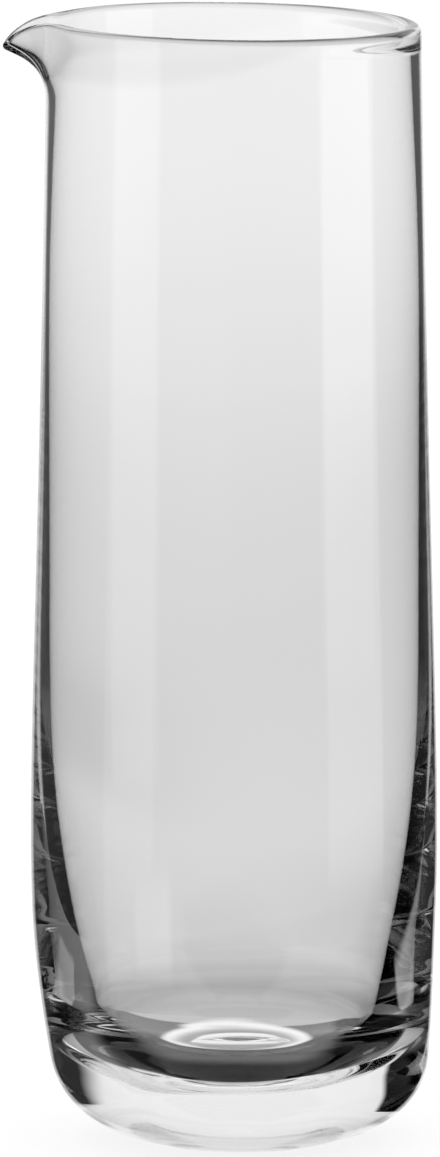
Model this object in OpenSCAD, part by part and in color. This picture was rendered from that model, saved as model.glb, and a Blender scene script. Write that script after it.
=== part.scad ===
// Water carafe: one blown piece of clear glass with a heavy base, a fire-polished rim and a drawn lip.
// The origin is the middle of the ring that it stands on, +Z is up and the lip pours towards -X.
// All sizes are in millimetres and all angles in degrees.

/* [Body] */
// Height from the table to the top of the rim, beside the lip
height = 250; // [210:1:300]
// Outside diameter at the widest ring of the body
belly_d = 90; // [80:0.2:104]
// Height of the widest ring above the table
belly_z = 68; // [55:1:90]
// Outside diameter at the rim
rim_d = 82.4; // [72:0.2:92]
// How far the rim slants down from the side of the lip to the side opposite it
rim_fall = 1.3; // [0:0.1:3]

/* [Base] */
// Height at which the soft rounding of the heel has become the wall
heel_z = 19; // [14:0.5:26]
// How far the wall draws in from the belly down to the heel
heel_inset = 3.1; // [1:0.1:5]
// Outside diameter of the flat ring that it stands on
foot_d = 35.5; // [26:0.5:48]
// Width of that ring
ring_w = 2.5; // [1.5:0.1:5]
// Angle at which the underside rises from that ring
foot_rise = 9; // [4:0.5:15]
// Depth of the shallow hollow under the base
punt_depth = 1.5; // [0.5:0.1:4]
// Thickness of the glass between the table and the floor of the cavity
base_t = 16; // [10:0.5:26]

/* [Cavity] */
// Radius of the rounding between the floor of the cavity and its wall
bowl_r = 22; // [14:0.5:26]
// How far the wall of the cavity leans from upright where that rounding ends
bowl_lean = 15; // [10:0.5:20]
// Thickness of the wall where that rounding ends
wall_low = 9.8; // [6:0.1:13]
// Thickness of the wall where it has thinned out below the rim
wall_top = 1.9; // [1.2:0.1:3]
// Thickness of the bead along the rim, opposite the lip
bead_d = 3.8; // [3.2:0.1:5]
// Distance over which the bead fades into the inside of the wall, besides its own swell
bead_fade = 2.6; // [1:0.1:5]

/* [Pouring lip] */
// Height of the stretch of wall that is bent outwards to make the lip
lip_h = 19.5; // [14:0.5:23]
// Angle from upright that the middle of the lip is bent to
lip_bend = 66; // [40:1:78]
// How much lower the rim is at the middle of the lip before it is bent
lip_dip = 2; // [0:0.1:4]
// Distance along the rim over which the broad funnel of the lip fades to each side
funnel_w = 7.9; // [6:0.1:12]
// Distance along the rim over which its narrow nose fades to each side
nose_w = 3.1; // [2:0.1:5]
// Half-width of the rounding at the tip of the nose
nose_r = 1; // [0.5:0.1:2]
// Thickness of the bead at the tip of the lip
lip_bead = 2.1; // [1.8:0.1:3.2]

/* [Hidden] */

belly_r = belly_d / 2;
rim_r = rim_d / 2;

// Where the lower wall meets the heel, leaning out as the end of a parabola does
heel_lean = atan(2 * heel_inset / (belly_z - heel_z));
heel_top = [belly_r - heel_inset, heel_z];
foot_r = foot_d / 2;
punt_r = foot_r - ring_w;

// How far the curve of the heel keeps to its direction at the foot and at the wall
foot_pull = 0.63;
heel_pull = 0.52;

// The upper wall is nearly straight: its curve starts upright and soon takes up the taper
belly_pull = 0.18;
rim_pull = 0.62;
rim_bow = 0.445;

// Points on each stretch of a profile, the least height between two of them, and the span of a slope
least_rise = 0.01;
slope_span = 1;
punt_steps = 10;
arc_steps = 16;
flank_steps = 14;
wall_steps = 30;

// The band with the rim and lip starts a little below the bend, and a tongue of it sits inside the wall below
seam_drop = 6;
seam_z = height - lip_h - seam_drop;
tongue_h = 2;
tongue_inset = 0.3;
band_rise = 0.4;
band_base_z = seam_z + band_rise;

// Rows up the band, closer together near the rim, rows over the bead, and steps along the bend of the lip
band_rows = 14;
row_crowding = 1.6;
bead_rows = 8;
bend_steps = 24;

// Share of the bent stretch in which the lean grows, and share of the lip that is funnel and not nose
bend_share = 0.77;
funnel_share = 0.63;

// How late the bead grows on its way from the lip to the side opposite it
bead_growth = 2.5;

// Stations around the rim, on each side of the lip, closer together near it
half_stations = 56;
crowding = 1.6;

function quadratic(a, b, c, n) =
    [for (i = [0:n]) let (t = i / n) (1 - t) * (1 - t) * a + 2 * t * (1 - t) * b + t * t * c];

function cubic(a, b, c, d, n) =
    [for (i = [0:n]) let (t = i / n, u = 1 - t)
        u * u * u * a + 3 * t * u * u * b + 3 * t * t * u * c + t * t * t * d];

function arc(centre, r, from, to, n) =
    [for (i = [0:n]) let (a = from + (to - from) * i / n) centre + r * [cos(a), sin(a)]];

// Outside of the glass as [radius, height], from the standing ring up to the rim
heel_curve = cubic(
    [foot_r, 0],
    [foot_r, 0] + foot_pull * (heel_top[0] - foot_r) * [cos(foot_rise), sin(foot_rise)],
    heel_top - heel_pull * heel_z * [sin(heel_lean), cos(heel_lean)],
    heel_top,
    arc_steps);
flank_curve = quadratic(
    heel_top,
    [belly_r, heel_top[1] + heel_inset / tan(heel_lean)],
    [belly_r, belly_z],
    flank_steps);
wall_curve = cubic(
    [belly_r, belly_z],
    [belly_r, belly_z + belly_pull * (height - belly_z)],
    [rim_r + rim_bow * (belly_r - rim_r), height - rim_pull * (height - belly_z)],
    [rim_r, height],
    wall_steps);
outer_curve = concat(
    heel_curve,
    [for (i = [1:flank_steps]) flank_curve[i]],
    [for (i = [1:wall_steps]) wall_curve[i]]);
outer_by_z = [for (p = outer_curve) [p[1], p[0]]];

function outer_r(z) = lookup(z, outer_by_z);

// Where the rounding of the bowl ends and the wall of the cavity begins
bowl_top_z = base_t + bowl_r * (1 - sin(bowl_lean));
bowl_top_r = outer_r(bowl_top_z) - wall_low;
floor_r = bowl_top_r - bowl_r * cos(bowl_lean);

// The wall thins upwards at a rate that carries on the lean of the bowl
outer_slope = (outer_r(bowl_top_z + slope_span) - outer_r(bowl_top_z - slope_span)) / (2 * slope_span);
thinning = (wall_low - wall_top) / (tan(bowl_lean) - outer_slope);

function wall(z) = wall_top + (wall_low - wall_top) * exp(-(z - bowl_top_z) / thinning);

function smooth(t) = let (u = max(0, min(1, t))) u * u * (3 - 2 * u);

// Inside of the glass at height z, under a rim of this height whose bead is this thick
function inner_r(z, bead, rim_z) =
    let (swell = bead - wall(z), below = rim_z - bead / 2 - z)
    outer_r(z) - wall(z) - swell * (1 - smooth(below / (bead_fade + abs(swell))));

bowl_curve = arc([floor_r, base_t + bowl_r], bowl_r, -90, -bowl_lean, arc_steps);
cavity_curve =
    [for (i = [1:wall_steps]) let (z = bowl_top_z + (seam_z - bowl_top_z) * i / wall_steps)
        [outer_r(z) - wall(z), z]];
punt_curve =
    [for (i = [0:punt_steps]) let (r = punt_r * i / punt_steps)
        [r, punt_depth * (1 - r * r / (punt_r * punt_r))]];

// How strongly the lip shows at this angle from its middle, from 1 there to 0 far away
function lip_share(angle) =
    let (along = rim_r * angle * PI / 180)
    let (funnel = exp(-pow(along / funnel_w, 2)))
    let (nose = exp((nose_r - norm([along, nose_r])) / nose_w))
    funnel_share * funnel + (1 - funnel_share) * nose;

// How far across the rim this angle is from the lip, from 0 there to 1 opposite it
function away(angle) = (1 - cos(angle)) / 2;

function bead_at(angle) = lip_bead + (bead_d - lip_bead) * pow(away(angle), bead_growth);

// Height of the rim before the lip is bent
function rim_at(angle) = height - lip_dip * lip_share(angle) - rim_fall * away(angle);

bend_z = height - lip_h;
bend_r = outer_r(bend_z);

// Lean of the bent wall at distance s along it
function lean(s, bend) = bend * smooth(s / (bend_share * lip_h));

// Path of the bent wall as [distance along it, radius gained, height gained]
function bend_path(bend) =
    let (ds = lip_h / bend_steps)
    [for (i = 0, p = [0, 0]; i <= bend_steps;
        p = p + ds * [sin(lean((i + 0.5) * ds, bend)), cos(lean((i + 0.5) * ds, bend))],
        i = i + 1)
        [i * ds, p[0], p[1]]];

// A point of the plain wall at [radius, height], carried along when the wall is bent
function bent(p, bend, path) =
    let (s = p[1] - bend_z, out = p[0] - bend_r)
    s <= 0 ? p :
    let (a = lean(s, bend))
    [
        bend_r + lookup(s, [for (q = path) [q[0], q[1]]]) + out * cos(a),
        bend_z + lookup(s, [for (q = path) [q[0], q[2]]]) - out * sin(a)
    ];

// Section of the band at one station: up the outside, over the bead, down the inside
function band_section(bead, rim_z) =
    let (top = rim_z - bead / 2, low_z = seam_z - tongue_h)
    let (rows = [for (i = [band_rows:-1:1]) top - (top - band_base_z) * pow(i / band_rows, row_crowding)])
    concat(
        [[outer_r(low_z) - tongue_inset, low_z]],
        [for (z = rows) [outer_r(z), z]],
        arc([outer_r(top) - bead / 2, top], bead / 2, 0, 180, bead_rows),
        [for (i = [band_rows - 1:-1:0]) [inner_r(rows[i], bead, rim_z), rows[i]]],
        [[inner_r(low_z, bead, rim_z) + tongue_inset, low_z]]);

function station_angle(k) = sign(k) * 180 * pow(abs(k) / half_stations, crowding);

module lip_band() {
    stations = [for (k = [-half_stations + 1:half_stations]) station_angle(k)];
    sections =
        [for (angle = stations)
            let (bend = lip_bend * lip_share(angle), path = bend_path(bend))
            [for (p = band_section(bead_at(angle), rim_at(angle))) bent(p, bend, path)]];
    n = len(stations);
    m = len(sections[0]);
    points =
        [for (i = [0:n - 1]) for (p = sections[i])
            [-p[0] * cos(stations[i]), -p[0] * sin(stations[i]), p[1]]];
    faces =
        [for (i = [0:n - 1]) for (j = [0:m - 1])
            let (a = i * m + j, b = i * m + (j + 1) % m)
            let (c = ((i + 1) % n) * m + (j + 1) % m, d = ((i + 1) % n) * m + j)
            each [[a, b, c], [a, c, d]]];
    polyhedron(points, faces);
}

module lower_body() {
    rotate_extrude($fn = 180)
        polygon(concat(
            punt_curve,
            [for (p = outer_curve) if (p[1] < seam_z - least_rise) p],
            [[outer_r(seam_z), seam_z]],
            [for (i = [wall_steps - 1:-1:0]) cavity_curve[i]],
            [for (i = [arc_steps:-1:0]) bowl_curve[i]],
            [[0, base_t]]));
}

module carafe() {
    color([0.9, 0.93, 0.93, 0.4])
        union() {
            lower_body();
            lip_band();
        }
}

carafe();
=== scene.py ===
"""Looks of the water carafe: one piece of clear glass that stands on a white table.

Lengths are in metres and angles in degrees. +Z is up, the lip pours towards -X, and the photograph's
viewer stands on the -Y side. An azimuth is counted from +Y, straight ahead for that viewer, towards +X.
"""
import math

import bpy
import numpy as np
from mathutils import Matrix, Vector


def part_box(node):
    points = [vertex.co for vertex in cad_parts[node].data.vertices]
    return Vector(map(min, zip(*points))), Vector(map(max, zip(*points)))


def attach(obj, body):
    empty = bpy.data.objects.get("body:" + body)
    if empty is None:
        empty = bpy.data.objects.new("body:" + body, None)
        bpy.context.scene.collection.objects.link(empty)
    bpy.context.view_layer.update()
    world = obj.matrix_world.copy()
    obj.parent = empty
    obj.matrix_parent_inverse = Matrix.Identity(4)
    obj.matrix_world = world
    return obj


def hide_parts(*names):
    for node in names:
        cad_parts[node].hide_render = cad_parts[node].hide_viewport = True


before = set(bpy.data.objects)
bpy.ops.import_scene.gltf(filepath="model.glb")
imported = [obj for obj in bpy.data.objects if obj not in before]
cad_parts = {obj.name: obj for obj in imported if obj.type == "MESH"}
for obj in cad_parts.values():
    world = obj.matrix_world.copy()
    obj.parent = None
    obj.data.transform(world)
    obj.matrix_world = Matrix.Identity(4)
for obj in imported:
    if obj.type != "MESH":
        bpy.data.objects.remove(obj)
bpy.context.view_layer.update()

cad_low, cad_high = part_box("carafe")

# Outside of the body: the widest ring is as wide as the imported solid, and the rim is highest at the lip
HEIGHT = 0.24999
BELLY_R = (cad_high.y - cad_low.y) / 2
BELLY_Z = 0.068
RIM_R = 0.0412
RIM_FALL = 0.0013
BELLY_PULL = 0.18
RIM_PULL = 0.62
RIM_BOW = 0.445

# Base: the soft heel, the flat ring that it stands on and the shallow hollow inside that ring
HEEL_Z = 0.019
HEEL_INSET = 0.0031
FOOT_R = 0.01775
FOOT_RISE = 9.0
FOOT_PULL = 0.63
HEEL_PULL = 0.52
RING_W = 0.0025
PUNT_DEPTH = 0.0015
BASE_T = 0.016

# The glass isn't quite true: its base stands off the body's axis, away from the lip
BASE_OFFSET = 0.0017
BASE_OFFSET_Z = 0.052

# Cavity: a rounded bowl, a curve out to its widest ring and a curve in to the mouth
BOWL_R = 0.022
BOWL_LEAN = 14.5
BOWL_END_R = 0.03245
BOWL_PULL = 0.375
CAVITY_R = 0.04094
CAVITY_Z = 0.125
CAVITY_PULL = 0.37
NECK_PULL = 0.49
MOUTH_R = 0.03833
MOUTH_LEAN = 2.8
MOUTH_PULL = 0.5

# Bead along the rim: it fades into the wall over its own swell and a little more. Where it is thinner than
# the wall, the wall thins out towards it over many times the difference
BEAD_D = 0.0038
BEAD_FADE = 0.0026
BEAD_THINNING = 26.0
BEAD_GROWTH = 2.5

# Pouring lip: a stretch of wall that is bent outwards into a broad funnel with a narrow nose
LIP_H = 0.0195
LIP_BEND = 66.0
LIP_DIP = 0.002
LIP_W = 0.0079
FUNNEL_SHARE = 0.63
NOSE_W = 0.0031
NOSE_R = 0.0010
LIP_BEAD = 0.0021
BEND_SHARE = 0.77

# Glass, with the unevenness of blown work: faint ripples across the body, and polish that varies
GLASS_IOR = 1.52
RIPPLE_STRETCH = (1.0, 1.0, 2.2)
RIPPLE_SCALE = 42.0
RIPPLE_DETAIL = 2.0
RIPPLE_HEIGHT = 0.000012
POLISH_SPAN = (0.35, 0.75)
ROUGHEST = 0.004

# How many bounces of light are followed inside the glass
MOST_BOUNCES = 128

# Rows and columns of the mesh, with columns closer together near the lip. The curves that its rows are read
# from have more steps
COLUMNS = 240
CROWDING = 1.5
PUNT_ROWS = 14
RING_ROWS = 4
HEEL_ROWS = 40
FLANK_ROWS = 36
WALL_ROWS = 70
LIP_ROWS = 34
BEAD_ROWS = 18
INNER_ROWS = 80
BOWL_ROWS = 40
FLOOR_ROWS = 10
BEND_STEPS = 200
FINER = 4

# Camera of the photograph, which is 440 by 1157 pixels
PHOTO_H = 1157
FOCAL_PIXELS = 16000
CAMERA_PLACE = (-0.0031, -3.5, 0.6174)
CAMERA_PITCH = 8.0
SENSOR = 36.0

# White table, a little below the standing ring
TABLE_HALF = 30.0
TABLE_Z = -0.0001
TABLE_COLOUR = (0.2, 0.2, 0.2, 1)
TABLE_GLOW = 0.84

# Kinds of light path, told apart by what they went through: at least two walls, few bounces, many bounces
# inside the glass, or no glass at all
THROUGH_DEPTH = 3.5
DIRECT_DEPTH = 3.5
GUIDED_DEPTH = 5.5
OUTSIDE_DEPTH = 0.5

# Backdrop as seen in the glass: (elevation, brightness), darker towards the table. One wall alone shows it
# paler, as this power of the brightness
SKY_STEPS = (
    (-50, 0.03), (-40, 0.28), (-30, 0.5), (-16, 0.74), (-10, 0.72), (-8.5, 0.83), (-4, 0.94), (0, 1.0),
)
ONE_WALL_POWER = 0.45

# In what follows, a side is (azimuth, half-width, softness). An edge is two elevations: a light or a shade is
# absent at the first and full at the second. The horizon parts what is low from what is high
HORIZON = (-2, 4)
# Two walls: all of the backdrop, with a shade low on the left and a dark room high on the viewer's side
SHADE_EDGES = ((-17, -13.5), (-9.5, -12))
SHADE_SIDE = (-93, 90, 4)
SHADE = 0.16
DARK_EDGE = (5, 10)
DARK_SIDE = (180, 45, 5)
# One wall: a bright panel at the back, low and high, panels high at the sides, and the whole backdrop from
# further down
LOW_PANEL = (-1.5, 17, 4)
HIGH_PANEL_SIDES = ((49, 90, 2), (-47, 90, 8))
HIGH_LEVEL = 0.9
SIDE_PANELS = ((-90, 14, 3), (135, 14, 3))
CLEAR_EDGE = (-11, -14)
# Many bounces: less of the back panel, and a low light at the back
GUIDED_SHARE = 0.2
LOW_LIGHT_EDGE = (-15, -20)
LOW_LIGHT_SIDE = (0, 75, 8)
LOW_LIGHT = 0.6
# Light from overhead, which a flag keeps from many bounces on one side, unless there are very many
OVERHEAD_EDGE = (32, 42)
OVERHEAD_GUIDED = 0.82
OVERHEAD_FLAG = (-124, 52, 6, 20, 51, 1)
FLAG_DEPTH = 25
# Softboxes beside the camera: (azimuth, half-width, softness, lowest elevation, highest, strength). Only the
# outside of the glass mirrors the low one
SOFTBOXES = ((-116.8, 16.3, 2.0, -18, 2, 0.7), (105.5, 19.5, 1.5, -10, 2, 1.0))
LOW_SOFTBOX = (-132, 11, 2.5, -17.5, -10, 1.5)
SOFTBOX_END = 2.0
# What the rest of the dark room gives, lower down and near the horizon. The right side has only a share of
# it, which grows upwards too, and a little light above the horizon. Both spans are along the direction's x
ROOM_FILL = (0.025, 0.12)
ROOM_FILL_EDGE = (-12, -5)
RIGHT_SHARES = (0.1, 0.7)
RIGHT_EDGE = (-9, -6.5)
LEFT_SPAN = (0.1, -0.1)
HIGH_FILL = 0.03
HIGH_FILL_SPAN = (0.0, 0.9)

# Painted light that the thick base gathers on the table, and painted shadow where the base shades it in
# front, on a glowing plane that shows only through the glass. Each span has
# two places, or two sizes of a form: a light or a shade is absent at the first and full at the second
GLOW_HALF_W = 0.100
GLOW_ENDS_Y = (-0.060, 0.200)
GLOW_Z = -0.00005
# Over this span from the axis, the plane ceases to show through two walls
SEEN_SPAN = (0.054, 0.055)
# A drawn-out ring of light that is open towards the viewer
RING_HALF_W = 0.0212
RING_Y = 0.005
RING_LENGTH = 0.039
RING_NEAR_LENGTH = 0.013
RING_TAPER = 1.3
RING_LEVEL = 1.0
RING_GAP_LEVEL = 0.33
RING_INNER_SPAN = (0.4, 0.95)
RING_OUTER_SPAN = (1.42, 1.02)
RING_FRONT = (-0.0055, -0.003)
# A painted bright patch of light inside the ring
PATCH_HALF_W = 0.0115
PATCH_HALF_L = 0.014
PATCH_X = 0.001
PATCH_Y = 0.008
PATCH_LEVEL = 1.0
PATCH_SPAN = (1.15, 0.8)
PATCH_FRONT = (0.002, 0.010)
# Fainter painted light on the table beside the ring
BESIDE_LEVEL = 0.17
BESIDE_FRONT = (0.0, 0.019)
BESIDE_RIGHT = (0.038, 0.032)
# Lit table behind it, less bright away from the middle and in the shade at the far left
BEHIND_LEVEL = 0.57
BEHIND_MIDDLE = (0.062, 0.05)
BEHIND_MIDDLE_SHARE = 0.4
BEHIND_SIDES = (0.088, 0.076)
BEHIND_FRONT = (0.035, 0.040)
BEHIND_END = (0.190, 0.150)
FAR_LEFT_X = (-0.042, -0.05)
FAR_LEFT_Y = (0.064, 0.08)
FAR_LEFT_SHADE = 0.7
# A painted bright streak of light on it, right of the middle
STREAK_LEVEL = 1.9
STREAK_LEFT = (-0.004, 0.004)
STREAK_RIGHT = (0.032, 0.022)
STREAK_FRONT = (0.074, 0.092)
STREAK_END = (0.170, 0.140)
# Faint light in front of the base
BEFORE_LEVEL = 0.13
BEFORE_SPAN = (0.024, 0.032)
BEFORE_FRONT = (-0.014, -0.026)
# Level for light that has bounced in the base more often than this
LONG_DEPTH = 14
LONG_LEVEL = 0.8


def bezier(points, steps):
    """Points along a Bezier curve of any degree, as an array of [radius, height]."""
    t = np.linspace(0, 1, steps + 1)[:, None]
    stages = [np.array(p, float)[None, :] * np.ones_like(t) for p in points]
    while len(stages) > 1:
        stages = [(1 - t) * a + t * b for a, b in zip(stages, stages[1:])]
    return stages[0]


def outer_curve():
    """Outside of the glass as [radius, height]: the heel, the flank above it and the wall up to the rim."""
    heel_lean = math.atan(2 * HEEL_INSET / (BELLY_Z - HEEL_Z))
    rise = math.radians(FOOT_RISE)
    foot = np.array([FOOT_R, 0])
    heel_top = np.array([BELLY_R - HEEL_INSET, HEEL_Z])
    belly = np.array([BELLY_R, BELLY_Z])
    foot_reach = FOOT_PULL * (heel_top[0] - FOOT_R)
    heel_reach = HEEL_PULL * HEEL_Z
    heel = bezier([
        foot,
        foot + foot_reach * np.array([math.cos(rise), math.sin(rise)]),
        heel_top - heel_reach * np.array([math.sin(heel_lean), math.cos(heel_lean)]),
        heel_top,
    ], HEEL_ROWS)
    flank = bezier([heel_top, [BELLY_R, HEEL_Z + HEEL_INSET / math.tan(heel_lean)], belly], FLANK_ROWS)
    above = HEIGHT - BELLY_Z
    wall = bezier([
        belly,
        [BELLY_R, BELLY_Z + BELLY_PULL * above],
        [RIM_R + RIM_BOW * (BELLY_R - RIM_R), HEIGHT - RIM_PULL * above],
        [RIM_R, HEIGHT],
    ], FINER * WALL_ROWS)
    return heel, flank, wall


HEEL, FLANK, WALL = outer_curve()
OUTER = np.vstack([HEEL, FLANK[1:], WALL[1:]])


def outer_r(z):
    """Outside radius of the plain wall at height z."""
    return np.interp(z, OUTER[:, 1], OUTER[:, 0])


BOWL_TOP_Z = BASE_T + BOWL_R * (1 - math.sin(math.radians(BOWL_LEAN)))
FLOOR_R = BOWL_END_R - BOWL_R * math.cos(math.radians(BOWL_LEAN))


def cavity_curve():
    """Inside of the wall as [radius, height], from the end of the bowl up to the mouth."""
    low = CAVITY_Z - BOWL_TOP_Z
    high = HEIGHT - CAVITY_Z
    bowl_slope = math.tan(math.radians(BOWL_LEAN))
    mouth_slope = math.tan(math.radians(MOUTH_LEAN))
    lower = bezier([
        [BOWL_END_R, BOWL_TOP_Z],
        [BOWL_END_R + BOWL_PULL * low * bowl_slope, BOWL_TOP_Z + BOWL_PULL * low],
        [CAVITY_R, CAVITY_Z - CAVITY_PULL * low],
        [CAVITY_R, CAVITY_Z],
    ], FINER * INNER_ROWS)
    upper = bezier([
        [CAVITY_R, CAVITY_Z],
        [CAVITY_R, CAVITY_Z + NECK_PULL * high],
        [MOUTH_R + MOUTH_PULL * high * mouth_slope, HEIGHT - MOUTH_PULL * high],
        [MOUTH_R, HEIGHT],
    ], FINER * INNER_ROWS)
    return np.vstack([lower, upper[1:]])


INNER = cavity_curve()


def smooth(t):
    """0 up to 0, 1 from 1 on and a smooth rise between them."""
    t = np.clip(t, 0, 1)
    return t * t * (3 - 2 * t)


def inner_r(z, bead, rim_z):
    """Inside of the glass at height z, under a rim of this height whose bead is this thick."""
    plain = np.interp(z, INNER[:, 1], INNER[:, 0])
    swell = bead - (outer_r(z) - plain)
    below = rim_z - bead / 2 - z
    fade = BEAD_FADE + np.where(swell > 0, swell, -BEAD_THINNING * swell)
    return plain - swell * (1 - smooth(below / fade))


def lip_share(angle):
    """How strongly the lip shows at this angle in radians from its middle."""
    along = RIM_R * abs(angle)
    funnel = math.exp(-(along / LIP_W) ** 2)
    nose = math.exp((NOSE_R - math.hypot(along, NOSE_R)) / NOSE_W)
    return FUNNEL_SHARE * funnel + (1 - FUNNEL_SHARE) * nose


def away(angle):
    """How far across the rim this angle is from the lip, from 0 there to 1 opposite it."""
    return (1 - math.cos(angle)) / 2


def bead_at(angle):
    """Thickness of the bead, which grows from the lip to the far side of the rim."""
    return LIP_BEAD + (BEAD_D - LIP_BEAD) * away(angle) ** BEAD_GROWTH


def rim_at(angle):
    """Height of the rim before the lip is bent: it dips at the lip and slants down away from it."""
    return HEIGHT - LIP_DIP * lip_share(angle) - RIM_FALL * away(angle)


def lean(s, bend):
    """Lean of the bent wall in radians at distance s along it."""
    return bend * smooth(s / (BEND_SHARE * LIP_H))


def bent(section, bend):
    """A section of the plain wall, carried along as the wall is bent by this angle in radians."""
    bend_z = HEIGHT - LIP_H
    bend_r = outer_r(bend_z)
    step = LIP_H / BEND_STEPS
    along = np.arange(BEND_STEPS + 1) * step
    middle = along[:-1] + step / 2
    path_r = np.append(0, np.cumsum(np.sin(lean(middle, bend)) * step))
    path_z = np.append(0, np.cumsum(np.cos(lean(middle, bend)) * step))
    s = section[:, 1] - bend_z
    out = section[:, 0] - bend_r
    a = lean(s, bend)
    r = bend_r + np.interp(s, along, path_r) + out * np.cos(a)
    z = bend_z + np.interp(s, along, path_z) - out * np.sin(a)
    return np.where((s > 0)[:, None], np.column_stack([r, z]), section)


def plain_section(bead, rim_z):
    """Closed section as [radius, height]: under the base, up the outside, over the bead, down the inside."""
    punt_r = FOOT_R - RING_W
    top = rim_z - bead / 2
    bend_z = HEIGHT - LIP_H
    r = np.linspace(0, punt_r, PUNT_ROWS + 1)
    punt = np.column_stack([r, PUNT_DEPTH * (1 - (r / punt_r) ** 2)])
    r = np.linspace(punt_r, FOOT_R, RING_ROWS + 1)[1:-1]
    ring = np.column_stack([r, np.zeros_like(r)])
    z = np.linspace(BELLY_Z, bend_z, WALL_ROWS + 1)[1:]
    wall = np.column_stack([outer_r(z), z])
    z = np.linspace(bend_z, top, LIP_ROWS + 1)[1:-1]
    lip_out = np.column_stack([outer_r(z), z])
    a = np.linspace(0, math.pi, BEAD_ROWS + 1)
    bead_arc = np.column_stack([outer_r(top) + bead / 2 * (np.cos(a) - 1), top + bead / 2 * np.sin(a)])
    z = np.linspace(top, bend_z, LIP_ROWS + 1)[1:-1]
    lip_in = np.column_stack([inner_r(z, bead, rim_z), z])
    z = np.linspace(bend_z, BOWL_TOP_Z, INNER_ROWS + 1)
    cavity = np.column_stack([inner_r(z, bead, rim_z), z])
    a = np.linspace(-math.radians(BOWL_LEAN), -math.pi / 2, BOWL_ROWS + 1)[1:]
    bowl = np.column_stack([FLOOR_R + BOWL_R * np.cos(a), BASE_T + BOWL_R + BOWL_R * np.sin(a)])
    r = np.linspace(FLOOR_R, 0, FLOOR_ROWS + 1)[1:]
    floor = np.column_stack([r, np.full_like(r, BASE_T)])
    return np.vstack([punt, ring, HEEL, FLANK[1:], wall, lip_out, bead_arc, lip_in, cavity, bowl, floor])


def off_axis(z):
    """How far the glass at this height stands off the body's axis."""
    return BASE_OFFSET * (1 - smooth(z / BASE_OFFSET_Z))


def carafe_mesh():
    """The whole piece of glass as one closed mesh: a ring of sections that share their two end points."""
    share_out = np.linspace(-1, 1, COLUMNS, endpoint=False)
    angles = np.sign(share_out) * math.pi * np.abs(share_out) ** CROWDING
    points = []
    for angle in angles:
        bend = math.radians(LIP_BEND) * lip_share(angle)
        section = bent(plain_section(bead_at(angle), rim_at(angle)), bend)
        points += [(off_axis(z) - r * math.cos(angle), -r * math.sin(angle), z) for r, z in section[1:-1]]
    rows = len(section) - 2
    below = len(points)
    above = below + 1
    points += [(off_axis(z), 0, z) for z in (PUNT_DEPTH, BASE_T)]
    faces = []
    for i in range(COLUMNS):
        here = i * rows
        there = (i + 1) % COLUMNS * rows
        faces.append((below, there, here))
        faces += [(here + j, there + j, there + j + 1, here + j + 1) for j in range(rows - 1)]
        faces.append((here + rows - 1, there + rows - 1, above))
    mesh = bpy.data.meshes.new("carafe_glass")
    mesh.from_pydata(points, [], faces)
    mesh.validate()
    mesh.shade_smooth()
    return mesh


def feed(tree, value, socket):
    """Sets a socket to a number, or links it to another node's output."""
    if isinstance(value, bpy.types.NodeSocket):
        tree.links.new(value, socket)
    else:
        socket.default_value = value


def math_node(tree, operation, *values):
    """Output of a node that does this operation on numbers or on other nodes' outputs."""
    node = tree.nodes.new("ShaderNodeMath")
    node.operation = operation
    for value, socket in zip(values, node.inputs):
        feed(tree, value, socket)
    return node.outputs["Value"]


def chain(tree, operation, values):
    """Output of this operation on any number of values, taken one after the other."""
    total = values[0]
    for value in values[1:]:
        total = math_node(tree, operation, total, value)
    return total


def times(tree, *values):
    """Product of the values."""
    return chain(tree, "MULTIPLY", values)


def most(tree, *values):
    """The largest of the values."""
    return chain(tree, "MAXIMUM", values)


def one_minus(tree, value):
    """What is missing from this value to 1."""
    return math_node(tree, "SUBTRACT", 1.0, value)


def between(tree, share, at_none, at_full):
    """The first value where the share is 0, and the second where it is 1."""
    return math_node(tree, "MULTIPLY_ADD", share, at_full - at_none, at_none)


def ramp_up(tree, value, start, end):
    """0 on the far side of start, 1 on the far side of end and a smooth rise between them."""
    node = tree.nodes.new("ShaderNodeMapRange")
    node.interpolation_type = "SMOOTHSTEP"
    feed(tree, value, node.inputs["Value"])
    node.inputs["From Min"].default_value = start
    node.inputs["From Max"].default_value = end
    return node.outputs["Result"]


def coordinates(tree, kind):
    """Outputs for x, y and z of this kind of texture coordinate."""
    place = tree.nodes.new("ShaderNodeTexCoord")
    split = tree.nodes.new("ShaderNodeSeparateXYZ")
    tree.links.new(place.outputs[kind], split.inputs[0])
    return split.outputs


def glass_material():
    """Clear glass with faint ripples and slightly uneven polish."""
    material = bpy.data.materials.new("clear_glass")
    material.use_nodes = True
    tree = material.node_tree
    glass = tree.nodes["Principled BSDF"]
    glass.inputs["Base Color"].default_value = (1.0, 1.0, 1.0, 1)
    glass.inputs["Transmission Weight"].default_value = 1.0
    glass.inputs["IOR"].default_value = GLASS_IOR
    place = tree.nodes.new("ShaderNodeTexCoord")
    stretch = tree.nodes.new("ShaderNodeMapping")
    stretch.inputs["Scale"].default_value = RIPPLE_STRETCH
    tree.links.new(place.outputs["Object"], stretch.inputs["Vector"])
    noise = tree.nodes.new("ShaderNodeTexNoise")
    noise.inputs["Scale"].default_value = RIPPLE_SCALE
    noise.inputs["Detail"].default_value = RIPPLE_DETAIL
    tree.links.new(stretch.outputs["Vector"], noise.inputs["Vector"])
    bump = tree.nodes.new("ShaderNodeBump")
    bump.inputs["Strength"].default_value = 1.0
    bump.inputs["Distance"].default_value = RIPPLE_HEIGHT
    tree.links.new(noise.outputs["Fac"], bump.inputs["Height"])
    tree.links.new(bump.outputs["Normal"], glass.inputs["Normal"])
    polish = ramp_up(tree, noise.outputs["Fac"], *POLISH_SPAN)
    tree.links.new(times(tree, polish, ROUGHEST), glass.inputs["Roughness"])
    return material


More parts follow.
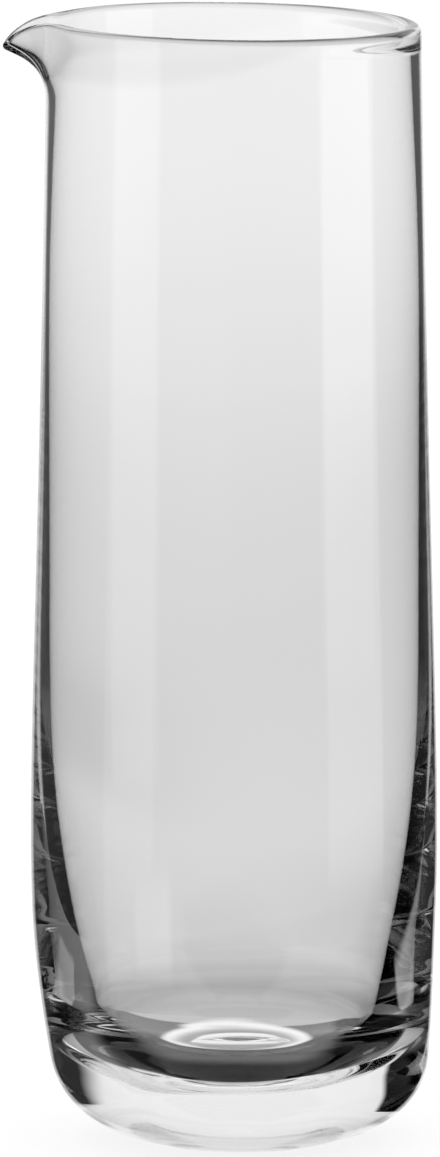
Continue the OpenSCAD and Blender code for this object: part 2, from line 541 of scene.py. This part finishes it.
class Rays:
    """Kinds of light path, each 1 or 0."""

    def __init__(self, tree):
        self.outputs = tree.nodes.new("ShaderNodeLightPath").outputs
        self.depth = self.outputs["Ray Depth"]
        self.crossings = self.outputs["Transmission Depth"]
        self.transmitted = self.outputs["Is Transmission Ray"]
        self.through = math_node(tree, "GREATER_THAN", self.crossings, THROUGH_DEPTH)
        self.outside = math_node(tree, "LESS_THAN", self.crossings, OUTSIDE_DEPTH)
        self.direct = math_node(tree, "LESS_THAN", self.depth, DIRECT_DEPTH)
        self.guided = math_node(tree, "GREATER_THAN", self.depth, GUIDED_DEPTH)


class Sky:
    """Masks by direction, each from 0 to 1, and the brightness of the backdrop."""

    def __init__(self, tree):
        self.tree = tree
        self.x, self.y, self.z = coordinates(tree, "Generated")
        squares = math_node(tree, "ADD", times(tree, self.x, self.x), times(tree, self.y, self.y))
        self.flat = math_node(tree, "SQRT", squares)
        self.high = self.edge(*HORIZON)
        self.low = one_minus(tree, self.high)

    def edge(self, none, full):
        """Fades in from one elevation to the other."""
        return ramp_up(self.tree, self.z, math.sin(math.radians(none)), math.sin(math.radians(full)))

    def side(self, azimuth, half, soft):
        """1 within half of this azimuth, all the way up and down, and 0 outside it."""
        a = math.radians(azimuth)
        along = math_node(self.tree, "ADD", times(self.tree, self.x, math.sin(a)),
                          times(self.tree, self.y, math.cos(a)))
        cosine = math_node(self.tree, "DIVIDE", along, self.flat)
        outer = math.cos(math.radians(half + soft))
        inner = math.cos(math.radians(half - soft))
        return ramp_up(self.tree, cosine, outer, inner)

    def softbox(self, azimuth, half, soft, lowest, highest, strength):
        """A soft-edged rectangle of light."""
        low_end = self.edge(lowest - SOFTBOX_END, lowest + SOFTBOX_END)
        high_end = self.edge(highest + SOFTBOX_END, highest - SOFTBOX_END)
        return times(self.tree, self.side(azimuth, half, soft), times(self.tree, low_end, high_end), strength)

    def backdrop(self):
        """Brightness of the backdrop at each elevation."""
        ramp = self.tree.nodes.new("ShaderNodeValToRGB")
        elements = ramp.color_ramp.elements
        while len(elements) > 1:
            elements.remove(elements[-1])
        for i, (elevation, brightness) in enumerate(SKY_STEPS):
            position = (1 + math.sin(math.radians(elevation))) / 2
            element = elements[0] if i == 0 else elements.new(position)
            element.position = position
            element.color = (brightness, brightness, brightness, 1)
        self.tree.links.new(math_node(self.tree, "MULTIPLY_ADD", self.z, 0.5, 0.5), ramp.inputs["Fac"])
        return ramp.outputs["Color"]


def room_fill(tree, sky):
    """What the dark room shows beside the panels."""
    fill = between(tree, sky.edge(*ROOM_FILL_EDGE), *ROOM_FILL)
    right = between(tree, sky.edge(*RIGHT_EDGE), *RIGHT_SHARES)
    share = most(tree, ramp_up(tree, sky.x, *LEFT_SPAN), right)
    high_fill = times(tree, ramp_up(tree, sky.x, *HIGH_FILL_SPAN), sky.high, HIGH_FILL)
    return math_node(tree, "ADD", times(tree, fill, share, sky.low), high_fill)


def back_panel(tree, sky, rays):
    """The bright panel at the back, less of it in light that the glass has guided."""
    low = times(tree, sky.side(*LOW_PANEL), sky.low)
    high_sides = times(tree, *[sky.side(*side) for side in HIGH_PANEL_SIDES])
    high = times(tree, high_sides, sky.high, HIGH_LEVEL)
    kept = between(tree, rays.guided, 1.0, GUIDED_SHARE)
    return times(tree, math_node(tree, "ADD", low, high), kept)


def panel_light(tree, sky, rays, dark):
    """The backdrop, as much of it as this kind of light path shows."""
    sides = most(tree, *[sky.side(*side) for side in SIDE_PANELS])
    sides = times(tree, sides, sky.high, rays.direct, rays.transmitted)
    clear = times(tree, rays.direct, rays.transmitted, sky.edge(*CLEAR_EDGE))
    crossed = math_node(tree, "SUBTRACT", rays.through, dark)
    shown = most(tree, back_panel(tree, sky, rays), sides, crossed, room_fill(tree, sky), clear)
    shade = times(tree, *[sky.edge(*edge) for edge in SHADE_EDGES], sky.side(*SHADE_SIDE), SHADE)
    lit = one_minus(tree, times(tree, shade, rays.through))
    power = between(tree, rays.through, ONE_WALL_POWER, 1.0)
    brightness = times(tree, math_node(tree, "POWER", sky.backdrop(), power), lit)
    return times(tree, brightness, shown)


def overhead_light(tree, sky, rays, dark):
    """White from overhead, but for the flag and the dark room on the viewer's side."""
    share = between(tree, rays.guided, 1.0, OVERHEAD_GUIDED)
    flagged = times(tree, math_node(tree, "LESS_THAN", rays.depth, FLAG_DEPTH), rays.guided)
    beside_flag = one_minus(tree, times(tree, flagged, sky.softbox(*OVERHEAD_FLAG)))
    return times(tree, share, sky.edge(*OVERHEAD_EDGE), beside_flag, one_minus(tree, dark))


def studio_world():
    """White for the camera and for the light on the table; panels on a dark room for the glass."""
    world = bpy.data.worlds.new("studio")
    world.use_nodes = True
    bpy.context.scene.world = world
    tree = world.node_tree
    tree.nodes.clear()
    sky = Sky(tree)
    rays = Rays(tree)
    dark = times(tree, sky.edge(*DARK_EDGE), sky.side(*DARK_SIDE), rays.through)
    guided_only = math_node(tree, "SUBTRACT", rays.guided, rays.through)
    low_light = times(tree, sky.edge(*LOW_LIGHT_EDGE), sky.side(*LOW_LIGHT_SIDE), guided_only, LOW_LIGHT)
    low_box = times(tree, sky.softbox(*LOW_SOFTBOX), rays.outside)
    panels = panel_light(tree, sky, rays, dark)
    overhead = overhead_light(tree, sky, rays, dark)
    level = most(tree, panels, overhead, low_light, low_box, *[sky.softbox(*box) for box in SOFTBOXES])

    room = tree.nodes.new("ShaderNodeBackground")
    tree.links.new(level, room.inputs["Color"])
    white = tree.nodes.new("ShaderNodeBackground")
    white.inputs["Color"].default_value = (1, 1, 1, 1)
    plain = most(tree, rays.outputs["Is Camera Ray"], rays.outputs["Is Diffuse Ray"])
    mix = tree.nodes.new("ShaderNodeMixShader")
    tree.links.new(plain, mix.inputs["Fac"])
    tree.links.new(room.outputs[0], mix.inputs[1])
    tree.links.new(white.outputs[0], mix.inputs[2])
    output = tree.nodes.new("ShaderNodeOutputWorld")
    tree.links.new(mix.outputs[0], output.inputs["Surface"])


def stage_plane(name, left, right, near, far, height):
    """A rectangle of the stage, lying flat, and the empty node tree of its own material."""
    mesh = bpy.data.meshes.new(name)
    corners = [(left, near, 0), (right, near, 0), (right, far, 0), (left, far, 0)]
    mesh.from_pydata(corners, [], [(0, 1, 2, 3)])
    plane = bpy.data.objects.new(name, mesh)
    bpy.context.scene.collection.objects.link(plane)
    plane.location.z = height
    material = bpy.data.materials.new(name)
    material.use_nodes = True
    material.node_tree.nodes.clear()
    mesh.materials.append(material)
    return plane, material.node_tree


def table_top():
    """Plain white table that shows only to the camera, and takes the soft shadow under the glass."""
    table, tree = stage_plane("table_top", -TABLE_HALF, TABLE_HALF, -TABLE_HALF, TABLE_HALF, TABLE_Z)
    diffuse = tree.nodes.new("ShaderNodeBsdfDiffuse")
    diffuse.inputs["Color"].default_value = TABLE_COLOUR
    glow = tree.nodes.new("ShaderNodeEmission")
    glow.inputs["Strength"].default_value = TABLE_GLOW
    add = tree.nodes.new("ShaderNodeAddShader")
    tree.links.new(diffuse.outputs[0], add.inputs[0])
    tree.links.new(glow.outputs[0], add.inputs[1])
    output = tree.nodes.new("ShaderNodeOutputMaterial")
    tree.links.new(add.outputs[0], output.inputs["Surface"])
    table.visible_glossy = False
    table.visible_transmission = False


def table_behind(tree, x, y):
    """Painted light on the table behind the base, with its painted streak of light."""
    to_side = math_node(tree, "ABSOLUTE", x)
    middle = between(tree, ramp_up(tree, to_side, *BEHIND_MIDDLE), 1.0 - BEHIND_MIDDLE_SHARE, 1.0)
    far_left = times(tree, ramp_up(tree, x, *FAR_LEFT_X), ramp_up(tree, y, *FAR_LEFT_Y))
    unshaded = between(tree, far_left, 1.0, 1.0 - FAR_LEFT_SHADE)
    sides = ramp_up(tree, to_side, *BEHIND_SIDES)
    front = ramp_up(tree, y, *BEHIND_FRONT)
    end = ramp_up(tree, y, *BEHIND_END)
    lit = times(tree, middle, unshaded, sides, front, end, BEHIND_LEVEL)
    streak_sides = times(tree, ramp_up(tree, x, *STREAK_LEFT), ramp_up(tree, x, *STREAK_RIGHT))
    streak_ends = times(tree, ramp_up(tree, y, *STREAK_FRONT), ramp_up(tree, y, *STREAK_END))
    return most(tree, lit, times(tree, streak_sides, streak_ends, STREAK_LEVEL))


def glow_level(tree, x, y, from_axis):
    """Brightness of the plane under the base, all painted light, with painted shadow where it stays dark: the
    ring and its patch, and the table round them.
    """

    def share(value, start, whole):
        return math_node(tree, "DIVIDE", math_node(tree, "SUBTRACT", value, start), whole)

    across = share(x, 0, RING_HALF_W)
    ahead = most(tree, share(y, RING_Y, RING_LENGTH), share(y, RING_Y, -RING_NEAR_LENGTH))
    ring = math_node(tree, "MULTIPLY_ADD", across, across, math_node(tree, "POWER", ahead, RING_TAPER))
    patch_x = share(x, PATCH_X, PATCH_HALF_W)
    patch_y = share(y, PATCH_Y, PATCH_HALF_L)
    patch = math_node(tree, "MULTIPLY_ADD", patch_x, patch_x, times(tree, patch_y, patch_y))

    bright = times(tree, ramp_up(tree, patch, *PATCH_SPAN), ramp_up(tree, y, *PATCH_FRONT), PATCH_LEVEL)
    inside = between(tree, ramp_up(tree, ring, *RING_INNER_SPAN), RING_GAP_LEVEL, RING_LEVEL)
    inside = times(tree, most(tree, inside, bright), ramp_up(tree, y, *RING_FRONT))
    beside = times(tree, ramp_up(tree, y, *BESIDE_FRONT), ramp_up(tree, x, *BESIDE_RIGHT), BESIDE_LEVEL)
    outside = most(tree, beside, table_behind(tree, x, y))
    in_ring = ramp_up(tree, ring, *RING_OUTER_SPAN)
    level = math_node(tree, "MULTIPLY_ADD", math_node(tree, "SUBTRACT", inside, outside), in_ring, outside)
    before = times(tree, ramp_up(tree, from_axis, *BEFORE_SPAN), ramp_up(tree, y, *BEFORE_FRONT))
    return most(tree, level, times(tree, before, BEFORE_LEVEL))


def painted_light_and_shadow_plane():
    """Plane on the table under the base that shows only through the glass, whose glow is painted light and
    painted shadow.
    """
    plane, tree = stage_plane("painted_light_and_shadow_plane", -GLOW_HALF_W, GLOW_HALF_W, *GLOW_ENDS_Y, GLOW_Z)
    x, y = coordinates(tree, "Object")[:2]
    from_axis = math_node(tree, "SQRT", math_node(tree, "MULTIPLY_ADD", x, x, times(tree, y, y)))
    rays = tree.nodes.new("ShaderNodeLightPath").outputs
    long_path = math_node(tree, "GREATER_THAN", rays["Ray Depth"], LONG_DEPTH)
    level = most(tree, glow_level(tree, x, y, from_axis), times(tree, long_path, LONG_LEVEL))
    glow = tree.nodes.new("ShaderNodeEmission")
    tree.links.new(level, glow.inputs["Strength"])
    through = math_node(tree, "GREATER_THAN", rays["Transmission Depth"], THROUGH_DEPTH)
    hidden = times(tree, through, ramp_up(tree, from_axis, *SEEN_SPAN))
    mix = tree.nodes.new("ShaderNodeMixShader")
    tree.links.new(hidden, mix.inputs["Fac"])
    tree.links.new(glow.outputs[0], mix.inputs[1])
    tree.links.new(tree.nodes.new("ShaderNodeBsdfTransparent").outputs[0], mix.inputs[2])
    output = tree.nodes.new("ShaderNodeOutputMaterial")
    tree.links.new(mix.outputs[0], output.inputs["Surface"])
    plane.visible_camera = False
    plane.visible_diffuse = False
    plane.visible_glossy = False
    plane.visible_shadow = False


def photo_camera():
    """Camera at the photograph's viewing angle."""
    data = bpy.data.cameras.new("photo_camera")
    data.sensor_width = SENSOR
    data.lens = SENSOR * FOCAL_PIXELS / PHOTO_H
    camera = bpy.data.objects.new("photo_camera", data)
    camera.location = CAMERA_PLACE
    camera.rotation_euler = (math.radians(90 - CAMERA_PITCH), 0, 0)
    bpy.context.scene.collection.objects.link(camera)
    bpy.context.scene.camera = camera


def make_carafe():
    """The glass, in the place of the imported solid."""
    mesh = carafe_mesh()
    mesh.materials.append(glass_material())
    carafe = bpy.data.objects.new("carafe_glass", mesh)
    bpy.context.scene.collection.objects.link(carafe)
    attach(carafe, "root")
    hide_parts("carafe")


bpy.context.scene.view_settings.view_transform = "Standard"
bpy.context.scene.cycles.max_bounces = MOST_BOUNCES
bpy.context.scene.cycles.transmission_bounces = MOST_BOUNCES
bpy.context.scene.cycles.glossy_bounces = MOST_BOUNCES
photo_camera()
studio_world()
table_top()
painted_light_and_shadow_plane()
make_carafe()
